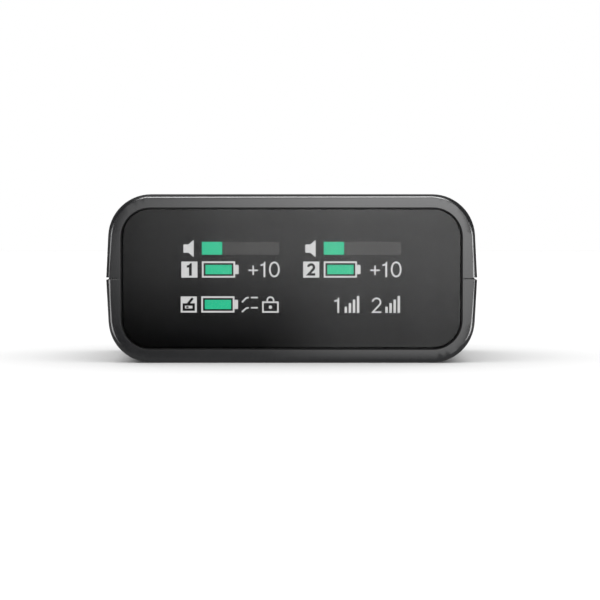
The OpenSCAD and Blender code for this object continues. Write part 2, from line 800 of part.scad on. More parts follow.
top_shell();
bottom_shell();
cover_glass();
glass_gasket();
display_module();
display_foam();
display_bracket();
display_ribbon();
ribbon_socket();
mainboard();
board_chips();
shield_cans();
crystal();
antennas();
line_out_jack();
headphone_jack();
jack_collars();
jack_terminals();
usb_shell();
usb_tongue();
usb_contacts();
power_button();
switch_body();
switch_plunger();
battery();
battery_foam();
battery_leads();
battery_plug();
battery_header();
accessory_rail();
rail_screws();
contact_block();
contact_pads();
contact_pins();
case_screws();
threaded_inserts();
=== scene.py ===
import math

import bmesh
import bpy
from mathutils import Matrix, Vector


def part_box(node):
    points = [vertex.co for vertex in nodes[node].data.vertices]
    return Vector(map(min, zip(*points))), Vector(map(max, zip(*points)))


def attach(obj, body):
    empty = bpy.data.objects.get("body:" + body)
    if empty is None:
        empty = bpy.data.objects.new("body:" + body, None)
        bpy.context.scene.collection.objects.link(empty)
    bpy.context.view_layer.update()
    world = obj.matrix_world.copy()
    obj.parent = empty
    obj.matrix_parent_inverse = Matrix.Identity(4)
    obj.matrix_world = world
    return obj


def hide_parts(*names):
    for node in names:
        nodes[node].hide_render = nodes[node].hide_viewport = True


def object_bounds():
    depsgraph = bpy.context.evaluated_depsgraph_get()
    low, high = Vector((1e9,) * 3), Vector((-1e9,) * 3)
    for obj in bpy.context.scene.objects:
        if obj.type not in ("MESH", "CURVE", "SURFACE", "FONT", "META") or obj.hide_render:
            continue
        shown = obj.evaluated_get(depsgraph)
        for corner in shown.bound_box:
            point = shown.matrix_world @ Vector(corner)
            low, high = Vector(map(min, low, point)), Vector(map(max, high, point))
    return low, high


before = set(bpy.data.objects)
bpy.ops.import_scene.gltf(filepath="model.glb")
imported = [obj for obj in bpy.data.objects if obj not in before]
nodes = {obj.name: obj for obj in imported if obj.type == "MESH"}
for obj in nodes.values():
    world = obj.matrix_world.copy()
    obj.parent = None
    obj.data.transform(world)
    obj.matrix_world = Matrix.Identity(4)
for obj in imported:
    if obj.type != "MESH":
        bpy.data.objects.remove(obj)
cad_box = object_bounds()
MM = 0.001


# ---- Case shells -------------------------------------------------------------------
# Two injection-moulded half shells in a charcoal, glass-filled plastic with a satin
# paint over a fine mould grain. They meet in a reveal groove round the case, with
# painted shade darkening the colour along it, and painted shade in matt black lies on
# the lip and gap round the cover glass.

def node(tree, kind, inputs=(), **settings):
    """A shader node with its settings made and its sockets filled or linked."""
    made = tree.nodes.new("ShaderNode" + kind)
    for key, value in settings.items():
        setattr(made, key, value)
    for socket, value in dict(inputs).items():
        if isinstance(value, bpy.types.NodeSocket):
            tree.links.new(value, made.inputs[socket])
        else:
            made.inputs[socket].default_value = value
    return made


def clouds(tree, size, detail=3.0, stretch=(1, 1, 1)):
    """Soft noise from 0 to 1, with blots of about that size in metres."""
    place = node(tree, "TexCoord").outputs["Object"]
    placed = node(tree, "Mapping", {"Vector": place, "Scale": stretch}).outputs[0]
    made = node(tree, "TexNoise", {"Vector": placed, "Scale": 1 / size, "Detail": detail})
    return made.outputs[0]


def between(tree, factor, low, high):
    """A number that goes from low to high as the noise goes from its darks to its lights."""
    return node(tree, "MapRange", {"Value": factor, "From Min": 0.3, "From Max": 0.7,
                                   "To Min": low, "To Max": high}).outputs[0]


def edge_wear(tree, radius):
    """1 on edges sharper than the radius, and 0 on the faces between them."""
    rounded = node(tree, "Bevel", {"Radius": radius}, samples=4).outputs[0]
    flat = node(tree, "NewGeometry").outputs["Normal"]
    same = node(tree, "VectorMath", {0: rounded, 1: flat}, operation="DOT_PRODUCT")
    return node(tree, "MapRange", {"Value": same.outputs["Value"], "From Min": 0.985,
                                   "From Max": 0.86, "To Min": 0.0, "To Max": 1.0}).outputs[0]


def finish(name, colours, grain, gloss, relief, blot=6 * MM, wear=None, stretch=(1, 1, 1),
           **sockets):
    """A finish mottled between two colours and two roughnesses, with a fine raised grain.
    Sockets that are the same all over are set on the shader itself."""
    made = bpy.data.materials.new(name)
    made.use_nodes = True
    tree = made.node_tree
    shader = tree.nodes["Principled BSDF"]
    for socket, value in sockets.items():
        shader.inputs[socket.replace("_", " ")].default_value = value
    fine = clouds(tree, grain, 2.0, stretch)
    broad = clouds(tree, blot, 4.0)
    mixed = node(tree, "Math", {0: fine, 1: broad}, operation="ADD").outputs[0]
    mottle = node(tree, "Math", {0: mixed, 1: 0.5}, operation="MULTIPLY").outputs[0]
    part = between(tree, mottle, 0.0, 1.0)
    colour = node(tree, "Mix", {0: part, 6: (*colours[0], 1), 7: (*colours[1], 1)},
                  data_type="RGBA").outputs[2]
    rough = between(tree, mottle, gloss[0], gloss[1])
    if wear:
        radius, worn_colour, worn_rough = wear
        worn = edge_wear(tree, radius)
        patchy = node(tree, "Math", {0: worn, 1: between(tree, broad, 0.25, 1.0)},
                      operation="MULTIPLY").outputs[0]
        colour = node(tree, "Mix", {0: patchy, 6: colour, 7: (*worn_colour, 1)},
                      data_type="RGBA").outputs[2]
        rough = node(tree, "Mix", {0: patchy, 2: rough, 3: worn_rough},
                     data_type="FLOAT").outputs[0]
    tree.links.new(colour, shader.inputs["Base Color"])
    tree.links.new(rough, shader.inputs["Roughness"])
    bump = node(tree, "Bump", {"Height": fine, "Strength": 1.0, "Distance": relief})
    tree.links.new(bump.outputs[0], shader.inputs["Normal"])
    return made


def dress(name, material):
    """Puts a finish on a piece that the CAD model supplies."""
    piece = nodes[name]
    piece.data.materials.clear()
    piece.data.materials.append(material)
    return piece


def smooth_facets(piece, angle=30):
    """Shades a moulded or turned CAD piece smoothly across facets that meet within the angle."""
    group = bpy.data.node_groups.new(piece.name + "_smooth", "GeometryNodeTree")
    for way in ("INPUT", "OUTPUT"):
        group.interface.new_socket("Geometry", in_out=way, socket_type="NodeSocketGeometry")
    start, end = group.nodes.new("NodeGroupInput"), group.nodes.new("NodeGroupOutput")
    weld = group.nodes.new("GeometryNodeMergeByDistance")
    weld.inputs["Distance"].default_value = 0.001 * MM
    plain = group.nodes.new("GeometryNodeRemoveAttribute")
    plain.inputs["Name"].default_value = "custom_normal"
    faces = group.nodes.new("GeometryNodeSetShadeSmooth")
    faces.domain = "FACE"
    bend = group.nodes.new("GeometryNodeInputMeshEdgeAngle")
    gentle = group.nodes.new("FunctionNodeCompare")
    gentle.operation = "LESS_THAN"
    gentle.inputs[1].default_value = math.radians(angle)
    edges = group.nodes.new("GeometryNodeSetShadeSmooth")
    edges.domain = "EDGE"
    link = group.links.new
    link(start.outputs[0], weld.inputs["Geometry"])
    link(weld.outputs[0], plain.inputs["Geometry"])
    link(plain.outputs[0], faces.inputs["Geometry"])
    link(faces.outputs[0], edges.inputs["Geometry"])
    link(bend.outputs["Unsigned Angle"], gentle.inputs[0])
    link(gentle.outputs[0], edges.inputs["Shade Smooth"])
    link(edges.outputs[0], end.inputs[0])
    piece.modifiers.new("facets", "NODES").node_group = group
    level = piece.modifiers.new("level_faces", "WEIGHTED_NORMAL")
    level.keep_sharp = True
    level.weight = 80


case_satin = finish("case_satin", ((0.013, 0.0133, 0.0142), (0.018, 0.0183, 0.0195)), 0.22 * MM,
                    (0.17, 0.22), 0.0004 * MM, 9 * MM,
                    wear=(0.08 * MM, (0.03, 0.0305, 0.032), 0.16), Specular_IOR_Level=1.0)
PARTING_Z = (cad_box[0].z + cad_box[1].z) / 2
# The seam: a shallow bump groove along the parting line, and painted shade that darkens the colour
# to near-black along it.
SEAM_HALF, SEAM_DEPTH = 0.07 * MM, 0.04 * MM
tree = case_satin.node_tree
shader = tree.nodes["Principled BSDF"]
place = node(tree, "TexCoord").outputs["Object"]
height = node(tree, "SeparateXYZ", {"Vector": place}).outputs["Z"]
above = node(tree, "Math", {0: height, 1: PARTING_Z}, operation="SUBTRACT").outputs[0]
away = node(tree, "Math", {0: above}, operation="ABSOLUTE").outputs[0]
seam_dip_and_shade = node(tree, "MapRange", {"Value": away, "From Min": 0.0, "From Max": SEAM_HALF},
           interpolation_type="SMOOTHSTEP").outputs[0]
grained = shader.inputs["Normal"].links[0].from_socket
dipped = node(tree, "Bump", {"Height": seam_dip_and_shade, "Strength": 1.0, "Distance": SEAM_DEPTH,
                             "Normal": grained}).outputs[0]
tree.links.new(dipped, shader.inputs["Normal"])
painted = shader.inputs["Base Color"].links[0].from_socket
pane_low, pane_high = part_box("cover_glass")
pane_middle = (pane_low + pane_high) / 2
# Painted shade: a near-black, matt band on the lip round the cover glass and on the walls of the gap
# behind it, where shade falls.
GLASS_R = 3.4
LIP, LIP_EDGE, LIP_DEPTH = 0.175 * MM, 0.03 * MM, 0.2 * MM
GAP_SHADE_BLACK, LIP_ROUGH = (0.002, 0.002, 0.002, 1), 0.9
straight = (pane_high - pane_low) / 2 - type(pane_low)((1, 0, 1)) * GLASS_R * MM
from_middle = node(tree, "VectorMath", {0: place, 1: pane_middle}, operation="SUBTRACT").outputs[0]
folded = node(tree, "VectorMath", {0: from_middle}, operation="ABSOLUTE").outputs[0]
past = node(tree, "VectorMath", {0: folded, 1: straight}, operation="SUBTRACT").outputs[0]
past = node(tree, "VectorMath", {0: past, 1: (0, 0, 0)}, operation="MAXIMUM").outputs[0]
past = node(tree, "VectorMath", {0: past, 1: (1, 0, 1)}, operation="MULTIPLY").outputs[0]
reach = node(tree, "VectorMath", {0: past}, operation="LENGTH").outputs["Value"]
outside = node(tree, "MapRange", {"Value": reach, "From Min": GLASS_R * MM + LIP - LIP_EDGE,
                                  "From Max": GLASS_R * MM + LIP}).outputs[0]
depth = node(tree, "SeparateXYZ", {"Vector": place}).outputs["Y"]
behind = node(tree, "MapRange", {"Value": depth, "From Min": pane_high.y,
                                 "From Max": pane_high.y + LIP_DEPTH}).outputs[0]
# 1 where the satin paint shows, 0 in the painted shade of the lip and gap.
clear_of_painted_shade = node(tree, "Math", {0: outside, 1: behind}, operation="MAXIMUM").outputs[0]
# 0 also in the painted shade along the seam.
free_of_painted_shade = node(tree, "Math", {0: clear_of_painted_shade, 1: seam_dip_and_shade}, operation="MINIMUM").outputs[0]
body_colour = node(tree, "Mix", {0: free_of_painted_shade, 6: GAP_SHADE_BLACK, 7: painted},
                   data_type="RGBA").outputs[2]
tree.links.new(body_colour, shader.inputs["Base Color"])
polish = shader.inputs["Roughness"].links[0].from_socket
matt = node(tree, "Mix", {0: clear_of_painted_shade, 2: LIP_ROUGH, 3: polish}, data_type="FLOAT").outputs[0]
tree.links.new(matt, shader.inputs["Roughness"])
for name in ("top_shell", "bottom_shell"):
    smooth_facets(dress(name, case_satin))


# ---- Screws and inserts ------------------------------------------------------------
# Four blackened steel screws with hexagon sockets, sunk in the bottom shell, and the
# knurled brass inserts that they turn into, heat-set in the bosses of the top shell.

screw_black = finish("screw_black", ((0.045, 0.045, 0.048), (0.07, 0.068, 0.066)), 0.1 * MM,
                     (0.28, 0.45), 0.001 * MM, 1 * MM,
                     wear=(0.08 * MM, (0.45, 0.44, 0.42), 0.2), Metallic=1.0)
smooth_facets(dress("case_screws", screw_black))
brass = finish("insert_brass", ((0.55, 0.38, 0.13), (0.7, 0.5, 0.2)), 0.15 * MM, (0.22, 0.4),
               0.002 * MM, 1 * MM, Metallic=1.0)
smooth_facets(dress("threaded_inserts", brass))


# ---- Cover glass -------------------------------------------------------------------
# A flat pane of hardened glass with a ground, blackened edge. It drops into its seat
# in the front face, on a ring of adhesive. Its index is low: the layers bonded behind
# it carry the reflection, which keeps noise off the glass.

def rounded(x0, x1, z0, z1, r, steps=20):
    """Corner points of a box with round corners, seen from the front, in millimetres."""
    turns = ((x1 - r, z1 - r, 0), (x0 + r, z1 - r, 90), (x0 + r, z0 + r, 180), (x1 - r, z0 + r, 270))
    return [(cx + r * math.cos(math.radians(a + 90 * k / steps)),
             cz + r * math.sin(math.radians(a + 90 * k / steps)))
            for cx, cz, a in turns for k in range(steps + 1)]


def piece_from(name, mesh_work, material, body):
    """Turns a finished bmesh, in millimetres, into a piece that rides on a body."""
    bmesh.ops.remove_doubles(mesh_work, verts=mesh_work.verts, dist=1e-5)
    bmesh.ops.recalc_face_normals(mesh_work, faces=mesh_work.faces)
    bmesh.ops.scale(mesh_work, vec=(MM, MM, MM), verts=mesh_work.verts)
    mesh = bpy.data.meshes.new(name)
    mesh_work.to_mesh(mesh)
    mesh_work.free()
    mesh.materials.append(material)
    piece = bpy.data.objects.new(name, mesh)
    bpy.context.collection.objects.link(piece)
    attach(piece, body)
    return piece


def ring_stack(rings):
    """Closed body through rings of points, each with the same number."""
    work = bmesh.new()
    rows = [[work.verts.new(p) for p in ring] for ring in rings]
    for near, far in zip(rows, rows[1:]):
        for k in range(len(near)):
            after = (k + 1) % len(near)
            work.faces.new((near[k], near[after], far[after], far[k]))
    work.faces.new(rows[0])
    work.faces.new(reversed(rows[-1]))
    return work


def crisp(piece, angle=30):
    """Smooth shading on what is nearly flat, and a sharp line where faces meet in an edge."""
    for face in piece.data.polygons:
        face.use_smooth = True
    piece.data.set_sharp_from_angle(angle=math.radians(angle))
    level = piece.modifiers.new("level_faces", "WEIGHTED_NORMAL")
    level.keep_sharp = True
    level.weight = 80


glass_low, glass_high = pane_low / MM, pane_high / MM
GRIND, PANE_INDEX, EDGE_LEVEL = 0.09, 1.1, 0.95
# Depth behind the face and inset from the rim, from the front to the back
ground = [(0.0, GRIND), (0.04, 0.05), (GRIND, 0.0), (0.6, 0.0), (0.66, 0.02), (0.7, 0.07)]
clear_glass = bpy.data.materials.new("clear_glass")
clear_glass.use_nodes = True
tree = clear_glass.node_tree
shader = tree.nodes["Principled BSDF"]
shader.inputs["Base Color"].default_value = (0.99, 0.992, 0.99, 1)
shader.inputs["Transmission Weight"].default_value = 1.0
shader.inputs["IOR"].default_value = PANE_INDEX
smear = clouds(tree, 7 * MM, 5.0, (1, 1, 2.2))
tree.links.new(between(tree, smear, 0.012, 0.05), shader.inputs["Roughness"])
pane = piece_from("glass_pane", ring_stack([
    [(x, glass_low.y + depth, z) for x, z in
     rounded(glass_low.x + inset, glass_high.x - inset, glass_low.z + inset,
             glass_high.z - inset, GLASS_R - inset)]
    for depth, inset in ground]), clear_glass, "case")
edge_black = finish("edge_black", ((0.002, 0.002, 0.002), (0.004, 0.004, 0.004)), 0.1 * MM,
                    (0.7, 0.9), 0.002 * MM, Specular_IOR_Level=0.1)
pane.data.materials.append(edge_black)
for face in pane.data.polygons:
    if abs(face.normal.y) < EDGE_LEVEL:
        face.material_index = 1
crisp(pane, 40)
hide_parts("cover_glass")


# ---- Print behind the glass --------------------------------------------------------
# The back of the pane is screen-printed in black ink, apart from a window for the
# display. The ink hides the ledge and the adhesive ring.

def holed_plate(outer, inner, y0, y1):
    """Flat ring between two outlines that have the same number of points."""
    work = bmesh.new()
    rows = [[work.verts.new((x, y, z)) for x, z in line]
            for line, y in ((outer, y0), (inner, y0), (inner, y1), (outer, y1))]
    for near, far in zip(rows, rows[1:] + rows[:1]):
        for k in range(len(near)):
            after = (k + 1) % len(near)
            work.faces.new((near[k], near[after], far[after], far[k]))
    return work


module_low, module_high = (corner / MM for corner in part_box("display_module"))
PRINT_DEPTHS = (0.71, 0.73)
INK_Y = [glass_low.y + depth for depth in PRINT_DEPTHS]
BONDED = 0.42
ink = finish("glass_ink", ((0.0025, 0.0025, 0.003), (0.0045, 0.0045, 0.005)), 2.0 * MM,
             (0.03, 0.06), 0.00005 * MM, 6 * MM, Specular_IOR_Level=BONDED)
PRINT_INSET, WINDOW_LAP = 0.1, 0.2
piece_from("glass_print", holed_plate(
    rounded(glass_low.x + PRINT_INSET, glass_high.x - PRINT_INSET, glass_low.z + PRINT_INSET,
            glass_high.z - PRINT_INSET, GLASS_R - PRINT_INSET),
    rounded(module_low.x + WINDOW_LAP, module_high.x - WINDOW_LAP, module_low.z + WINDOW_LAP,
            module_high.z - WINDOW_LAP, 0.3),
    *INK_Y), ink, "case")


# ---- Adhesive ring -----------------------------------------------------------------
# A die-cut ring of black foam tape between the pane and the ledge of the shells. It
# holds the pane and seals its rim.

dress("glass_gasket", finish("foam_tape", ((0.008, 0.008, 0.008), (0.02, 0.02, 0.02)),
                             0.08 * MM, (0.75, 0.95), 0.01 * MM))


# ---- Display module ----------------------------------------------------------------
# A colour display with its polarising film to the front and the driver chip under a
# strip on the right. Black foam and a stamped steel bracket press it to the ledge.

film = finish("polariser", ((0.0045, 0.0045, 0.0055), (0.0065, 0.0065, 0.0075)), 2.5 * MM,
              (0.03, 0.06), 0.00005 * MM, 9 * MM, Specular_IOR_Level=BONDED)
dress("display_module", film)
STRIP_W, STRIP_T = 2.9, 0.015
strip_finish = finish("driver_strip", ((0.0085, 0.0085, 0.0095), (0.011, 0.011, 0.012)),
                      2.5 * MM, (0.03, 0.06), 0.00005 * MM, Specular_IOR_Level=BONDED)
piece_from("driver_strip", ring_stack([
    [(x, y, z) for x, z in
     rounded(module_high.x - STRIP_W, module_high.x - 0.05, module_low.z + 0.05,
             module_high.z - 0.05, 0.15, 4)]
    for y in (module_low.y - STRIP_T, module_low.y)]), strip_finish, "case")
dress("display_foam", finish("backing_foam", ((0.01, 0.01, 0.01), (0.025, 0.025, 0.025)),
                             0.12 * MM, (0.8, 0.95), 0.02 * MM))
dress("display_bracket", finish("bracket_steel", ((0.5, 0.5, 0.51), (0.62, 0.62, 0.63)),
                                0.1 * MM, (0.25, 0.42), 0.002 * MM, 3 * MM,
                                stretch=(0.1, 1, 1), Metallic=1.0))
dress("display_ribbon", finish("ribbon_film", ((0.42, 0.17, 0.03), (0.55, 0.26, 0.06)),
                               0.3 * MM, (0.25, 0.4), 0.003 * MM, 2 * MM))
dress("ribbon_socket", finish("socket_ivory", ((0.6, 0.57, 0.5), (0.7, 0.68, 0.6)), 0.2 * MM,
                              (0.4, 0.55), 0.003 * MM, 2 * MM))


# ---- Lit symbols on the display ----------------------------------------------------
# What the display shows: for each of two channels a loudspeaker with its level bar, a
# numbered badge, a battery and the gain; below them the unit's own badge and battery,
# the low-cut and lock signs, and the two signal strengths.

LIT_Y = INK_Y[0] + 0.005
LIT_DEPTH = 0.012


def glow(name, colour, strength, dim=0.9):
    """A lit area of the display, very slightly uneven from its backlight."""
    made = bpy.data.materials.new(name)
    made.use_nodes = True
    tree = made.node_tree
    shader = tree.nodes["Principled BSDF"]
    shader.inputs["Emission Strength"].default_value = strength
    shader.inputs["Roughness"].default_value = 0.05
    shader.inputs["Specular IOR Level"].default_value = BONDED
    uneven = between(tree, clouds(tree, 1.1 * MM, 3.0), 0.0, 1.0)
    low_colour = tuple(dim * part for part in colour)
    light = node(tree, "Mix", {0: uneven, 6: (*low_colour, 1), 7: (*colour, 1)},
                 data_type="RGBA").outputs[2]
    tree.links.new(light, shader.inputs["Emission Color"])
    dark = node(tree, "Mix", {0: uneven, 6: (0.004, 0.004, 0.004, 1), 7: (0.006, 0.006, 0.006, 1)},
                data_type="RGBA").outputs[2]
    tree.links.new(dark, shader.inputs["Base Color"])
    return made


white_glow = glow("white_glow", (1.0, 1.0, 1.0), 0.63)
green_glow = glow("green_glow", (0.03, 0.99, 0.52), 0.52)
grey_glow = glow("grey_glow", (1.0, 0.98, 0.96), 0.037)
unlit_areas = finish("unlit_areas", ((0.004, 0.004, 0.005), (0.007, 0.007, 0.008)), 0.2 * MM,
                     (0.03, 0.06), 0.00005 * MM, Specular_IOR_Level=BONDED)


def box_shape(x0, x1, z0, z1):
    return [[(x0, z0), (x1, z0), (x1, z1), (x0, z1)]]


def stroke(points, width, closed=False, round_ends=False):
    """Four-cornered pieces of a drawn line of that width, mitred where it turns."""
    count = len(points)
    left, right = [], []
    for k, (x, z) in enumerate(points):
        before = points[k - 1] if k or closed else None
        after = points[(k + 1) % count] if k < count - 1 or closed else None
        ways = []
        for start, end in ((before, (x, z)), ((x, z), after)):
            if start and end:
                length = math.dist(start, end)
                ways.append(((end[0] - start[0]) / length, (end[1] - start[1]) / length))
        way = (sum(w[0] for w in ways), sum(w[1] for w in ways))
        size = math.hypot(*way)
        side = (-way[1] / size, way[0] / size)
        first = (-ways[0][1], ways[0][0])
        reach = width / 2 / max(0.45, side[0] * first[0] + side[1] * first[1])
        left.append((x + side[0] * reach, z + side[1] * reach))
        right.append((x - side[0] * reach, z - side[1] * reach))
    spans = count if closed else count - 1
    shapes = [[left[k], left[(k + 1) % count], right[(k + 1) % count], right[k]]
              for k in range(spans)]
    if round_ends and not closed:
        for k, inner in ((0, 1), (count - 1, count - 2)):
            x, z = points[k]
            out = math.atan2(z - points[inner][1], x - points[inner][0])
            shapes.append([(x + width / 2 * math.cos(out + math.radians(a)),
                            z + width / 2 * math.sin(out + math.radians(a)))
                           for a in range(-90, 91, 22)])
    return shapes


def frame_shape(x0, x1, z0, z1, width):
    """The outline of a box as one line of that width, inside the given sides."""
    half = width / 2
    return stroke([(x0 + half, z0 + half), (x1 - half, z0 + half), (x1 - half, z1 - half),
                   (x0 + half, z1 - half)], width, closed=True)


def arc_points(cx, cz, rx, rz, start, end, steps):
    return [(cx + rx * math.cos(math.radians(start + (end - start) * k / steps)),
             cz + rz * math.sin(math.radians(start + (end - start) * k / steps)))
            for k in range(steps + 1)]


def one_shape(right, z0, z1, weight, flag):
    """The figure 1 with a short flag, its right side and its height given."""
    left = right - weight
    drop = (z1 - z0) * 0.17
    return [[(left, z0), (right, z0), (right, z1), (left + weight * 0.45, z1),
             (left, z1 - drop * 0.8), (left - flag, z1 - drop * 1.05),
             (left - flag, z1 - drop * 1.05 - weight * 0.8), (left, z1 - drop * 0.9 - weight * 0.8)]]


def two_shape(x0, x1, z0, z1, weight):
    """The figure 2 as one line: a bow, a slope and a foot."""
    half = weight / 2
    reach = (x1 - x0) / 2 - half
    middle = (x0 + x1) / 2
    bow = arc_points(middle, z1 - half - reach, reach, reach, 172, -38, 14)
    return stroke(bow + [(x0 + half * 1.2, z0 + half), (x1, z0 + half)], weight)


def zero_shape(x0, x1, z0, z1, weight):
    half = weight / 2
    middle, height = (x0 + x1) / 2, (z0 + z1) / 2
    ring = arc_points(middle, height, (x1 - x0) / 2 - half, (z1 - z0) / 2 - half, 0, 360, 28)[:-1]
    return stroke(ring, weight, closed=True)


def plus_shape(x0, x1, z0, z1, weight):
    middle, height, half = (x0 + x1) / 2, (z0 + z1) / 2, weight / 2
    return [[(x0, height - half), (middle - half, height - half), (middle - half, z0),
             (middle + half, z0), (middle + half, height - half), (x1, height - half),
             (x1, height + half), (middle + half, height + half), (middle + half, z1),
             (middle - half, z1), (middle - half, height + half), (x0, height + half)]]


def speaker_shape(x0, z0, z1):
    middle, rise = (z0 + z1) / 2, (z1 - z0) / 2
    horn = ((0.0, 0.5), (0.48, 0.5), (0.95, 1.0), (1.0, 1.0))
    top = [(x0 + 1.22 * a, middle + rise * b) for a, b in horn]
    return [[(x, 2 * middle - z) for x, z in top] + top[::-1]]


def battery_shapes(x0, z0, z1):
    """A battery's outline with its terminal, and the charge inside it."""
    x1 = x0 + 3.94
    outline = frame_shape(x0, x1, z0, z1, 0.2)
    nose = box_shape(x1 + 0.005, x1 + 0.42, z0 + 0.42, z1 - 0.42)
    charge = box_shape(x0 + 0.42, x1 - 0.4, z0 + 0.41, z1 - 0.42)
    return outline + nose, charge


def show(name, shapes, material, y=LIT_Y, depth=LIT_DEPTH):
    """Lit areas of the display as thin plates in the display's plane."""
    work = bmesh.new()
    for shape in shapes:
        work.faces.new([work.verts.new((x, y, z)) for x, z in shape])
    bmesh.ops.remove_doubles(work, verts=work.verts, dist=1e-5)
    bmesh.ops.recalc_face_normals(work, faces=work.faces)
    grown = bmesh.ops.extrude_face_region(work, geom=work.faces[:], use_keep_orig=True)
    moved = [v for v in grown["geom"] if isinstance(v, bmesh.types.BMVert)]
    bmesh.ops.translate(work, vec=(0, depth, 0), verts=moved)
    return piece_from(name, work, material, "case")


CHANNEL_PITCH = 14.46
BADGE = 1.91
CHANNEL_ROW, UNIT_ROW, LEVEL_ROW = 10.11, 5.96, (12.83, 14.35)
FIGURE_Y, FIGURE_DEPTH = LIT_Y - 0.004, 0.002
for number, across in ((1, 0.0), (2, CHANNEL_PITCH)):
    tag = f"channel_{number}"
    show(tag + "_speaker", speaker_shape(-12.84 + across, 12.58, 14.54), white_glow)
    show(tag + "_level", box_shape(-10.65 + across, -8.24 + across, *LEVEL_ROW), green_glow)
    show(tag + "_level_rest", box_shape(-8.2 + across, -1.48 + across, *LEVEL_ROW), grey_glow)
    show(tag + "_badge", box_shape(-13.09 + across, -13.09 + BADGE + across, CHANNEL_ROW,
                                   CHANNEL_ROW + BADGE), white_glow)
    if number == 1:
        figure = one_shape(-11.85, 10.34, 11.82, 0.34, 0.26)
    else:
        figure = two_shape(-12.64 + across, -11.66 + across, 10.34, 11.82, 0.3)
    show(tag + "_badge_figure", figure, unlit_areas, FIGURE_Y, FIGURE_DEPTH)
    case_line, charge = battery_shapes(-10.65 + across, CHANNEL_ROW, 12.04)
    show(tag + "_battery", case_line, white_glow)
    show(tag + "_battery_charge", charge, green_glow)
    show(tag + "_gain", plus_shape(-5.13 + across, -4.0 + across, 10.42, 11.54, 0.17)
         + one_shape(-3.13 + across, 10.17, 12.0, 0.21, 0.36)
         + zero_shape(-2.69 + across, -1.42 + across, 10.15, 12.02, 0.19), white_glow)

show("unit_badge", box_shape(-13.17, -13.17 + BADGE, UNIT_ROW, UNIT_ROW + BADGE), white_glow)
show("unit_badge_sign", frame_shape(-12.95, -11.49, 6.16, 7.06, 0.29)
     + stroke([(-12.3, 7.0), (-11.74, 7.68)], 0.3) + box_shape(-12.52, -12.24, 6.5, 6.7),
     unlit_areas, FIGURE_Y, FIGURE_DEPTH)
case_line, charge = battery_shapes(-10.73, UNIT_ROW, 7.89)
show("unit_battery", case_line, white_glow)
show("unit_battery_charge", charge, green_glow)
low_cut = []
for height, drop in ((7.74, 0.56), (6.53, 0.5)):
    low_cut += stroke([(-5.9, height - drop), (-5.4, height - 0.05), (-5.1, height)], 0.17)
    low_cut += stroke([(-4.84, height), (-4.02, height)], 0.17)
show("low_cut_sign", low_cut, white_glow)
shackle = [(-2.9, 7.3)] + arc_points(-2.52, 7.42, 0.38, 0.38, 180, 0, 10) + [(-2.14, 7.3)]
show("lock_sign", frame_shape(-3.5, -1.54, 5.94, 7.28, 0.18) + stroke(shackle, 0.17)
     + [arc_points(-2.52, 6.6, 0.2, 0.2, 0, 360, 16)[:-1]], white_glow)
for number, across in ((1, 0.0), (2, 4.83)):
    if number == 1:
        figure = one_shape(5.64, 5.92, 7.74, 0.22, 0.36)
    else:
        figure = two_shape(9.52, 10.64, 5.92, 7.74, 0.18)
    bars = []
    for step in range(4):
        left = 6.29 + across + 0.485 * step
        bars += box_shape(left, left + 0.29, 5.92, 6.65 + 0.425 * step)
    show(f"signal_{number}", figure + bars, white_glow)


# ---- Main board --------------------------------------------------------------------
# A green-masked glass-fibre board with its chips, tinned shield cans, crystal and two
# stamped, gold-plated antennas soldered on. It rests on posts in the bottom shell.

dress("mainboard", finish("solder_mask", ((0.006, 0.03, 0.018), (0.012, 0.05, 0.03)), 0.35 * MM,
                          (0.3, 0.45), 0.004 * MM, 2.5 * MM, stretch=(1, 0.3, 1)))
dress("board_chips", finish("chip_epoxy", ((0.012, 0.012, 0.013), (0.022, 0.022, 0.023)),
                            0.1 * MM, (0.5, 0.7), 0.004 * MM, 2 * MM))
dress("shield_cans", finish("shield_tin", ((0.62, 0.61, 0.58), (0.74, 0.73, 0.7)), 0.12 * MM,
                            (0.25, 0.42), 0.002 * MM, 2 * MM, Metallic=1.0))
dress("crystal", finish("crystal_can", ((0.6, 0.57, 0.5), (0.72, 0.69, 0.6)), 0.1 * MM,
                        (0.2, 0.38), 0.002 * MM, 1 * MM, Metallic=1.0))
gold = finish("gold_plate", ((0.72, 0.5, 0.19), (0.85, 0.62, 0.27)), 0.1 * MM, (0.18, 0.34),
              0.001 * MM, 1 * MM, Metallic=1.0)
dress("antennas", gold)


# ---- Battery -----------------------------------------------------------------------
# A flat lithium cell in its silver pouch, taped under the ceiling with foam. Its two
# leads end in a small ivory plug in a header on the board.

dress("battery", finish("battery_foil", ((0.5, 0.51, 0.53), (0.64, 0.65, 0.66)), 0.4 * MM,
                        (0.3, 0.5), 0.02 * MM, 4 * MM, Metallic=0.85))
dress("battery_foam", finish("battery_foam", ((0.01, 0.01, 0.01), (0.025, 0.025, 0.025)),
                             0.12 * MM, (0.8, 0.95), 0.02 * MM))
lead_cover = finish("lead_cover", ((0.42, 0.02, 0.015), (0.55, 0.035, 0.025)), 0.12 * MM,
                    (0.35, 0.5), 0.002 * MM, 1 * MM)
smooth_facets(dress("battery_leads", lead_cover), 60)
ivory = finish("plug_ivory", ((0.62, 0.59, 0.52), (0.72, 0.7, 0.63)), 0.15 * MM, (0.4, 0.55),
               0.003 * MM, 1 * MM)
dress("battery_plug", ivory)
dress("battery_header", ivory)


# ---- Jacks -------------------------------------------------------------------------
# Two 3.5 mm jacks for the line output and the headphones: black plastic bodies on the
# board, each with a nickel-plated collar that shows in the left flank, and tinned feet.

